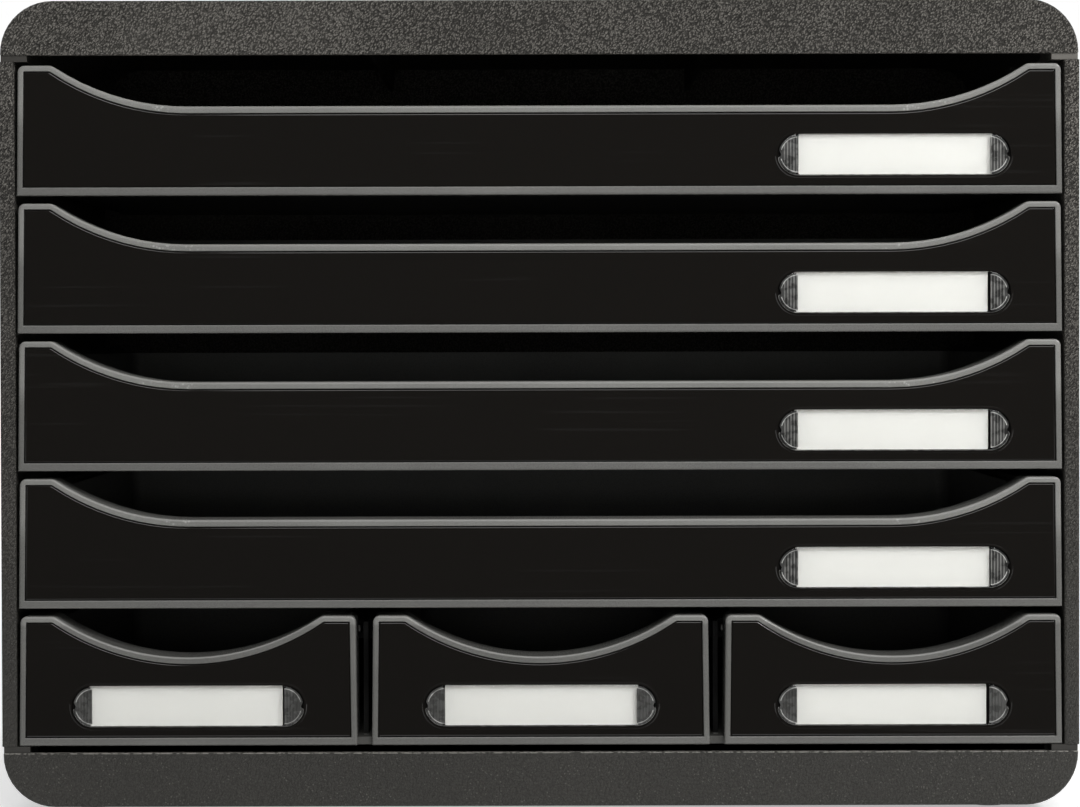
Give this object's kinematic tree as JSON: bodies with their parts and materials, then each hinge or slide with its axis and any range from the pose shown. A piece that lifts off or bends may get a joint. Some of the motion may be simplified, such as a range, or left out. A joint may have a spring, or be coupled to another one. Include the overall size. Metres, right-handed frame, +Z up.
{
  "type": "desktop drawer unit",
  "caption": "Desktop drawer unit with full-width drawers over a row of small ones, curved finger cut-outs and label holders on the fronts.",
  "frame": {"origin": "middle of the footprint, at the underside of the feet", "axes": "+X along the width, to the right of the person facing the drawers; drawers pull out towards -Y; +Z up"},
  "size_m": [0.355, 0.27, 0.2678],
  "materials": {
    "casing_plastic": "matt, fine grain",
    "tray_plastic": "satin",
    "front_panel_plastic": "gloss",
    "window_clear": "clear",
    "label_paper": "plain white",
    "foot_rubber": "matt"
  },
  "bodies": {
    "casing": {"top_cap": "casing_plastic", "base_cap": "casing_plastic", "right_side_panel": "casing_plastic", "left_side_panel": "casing_plastic", "back_panel": "casing_plastic", "small_drawer_carrier": "casing_plastic", "front_left_foot": "foot_rubber", "front_right_foot": "foot_rubber", "rear_left_foot": "foot_rubber", "rear_right_foot": "foot_rubber"},
    "wide_drawer_1": {"wide_drawer_1_tray": "tray_plastic", "wide_drawer_1_front_panel": "front_panel_plastic", "wide_drawer_1_label_window": "window_clear", "wide_drawer_1_label_card": "label_paper"},
    "wide_drawer_2": {"wide_drawer_2_tray": "tray_plastic", "wide_drawer_2_front_panel": "front_panel_plastic", "wide_drawer_2_label_window": "window_clear", "wide_drawer_2_label_card": "label_paper"},
    "wide_drawer_3": {"wide_drawer_3_tray": "tray_plastic", "wide_drawer_3_front_panel": "front_panel_plastic", "wide_drawer_3_label_window": "window_clear", "wide_drawer_3_label_card": "label_paper"},
    "wide_drawer_4": {"wide_drawer_4_tray": "tray_plastic", "wide_drawer_4_front_panel": "front_panel_plastic", "wide_drawer_4_label_window": "window_clear", "wide_drawer_4_label_card": "label_paper"},
    "left_small_drawer": {"left_small_drawer_tray": "tray_plastic", "left_small_drawer_front_panel": "front_panel_plastic", "left_small_drawer_label_window": "window_clear", "left_small_drawer_label_card": "label_paper"},
    "middle_small_drawer": {"middle_small_drawer_tray": "tray_plastic", "middle_small_drawer_front_panel": "front_panel_plastic", "middle_small_drawer_label_window": "window_clear", "middle_small_drawer_label_card": "label_paper"},
    "right_small_drawer": {"right_small_drawer_tray": "tray_plastic", "right_small_drawer_front_panel": "front_panel_plastic", "right_small_drawer_label_window": "window_clear", "right_small_drawer_label_card": "label_paper"}
  },
  "joints": [
    {"name": "wide_drawer_1_slide", "type": "slide", "parent": "casing", "child": "wide_drawer_1", "axis": [0, -1, 0], "range_m": [0, 0.19]},
    {"name": "wide_drawer_2_slide", "type": "slide", "parent": "casing", "child": "wide_drawer_2", "axis": [0, -1, 0], "range_m": [0, 0.19]},
    {"name": "wide_drawer_3_slide", "type": "slide", "parent": "casing", "child": "wide_drawer_3", "axis": [0, -1, 0], "range_m": [0, 0.19]},
    {"name": "wide_drawer_4_slide", "type": "slide", "parent": "casing", "child": "wide_drawer_4", "axis": [0, -1, 0], "range_m": [0, 0.19]},
    {"name": "left_small_drawer_slide", "type": "slide", "parent": "casing", "child": "left_small_drawer", "axis": [0, -1, 0], "range_m": [0, 0.19]},
    {"name": "middle_small_drawer_slide", "type": "slide", "parent": "casing", "child": "middle_small_drawer", "axis": [0, -1, 0], "range_m": [0, 0.19]},
    {"name": "right_small_drawer_slide", "type": "slide", "parent": "casing", "child": "right_small_drawer", "axis": [0, -1, 0], "range_m": [0, 0.19]}
  ]
}
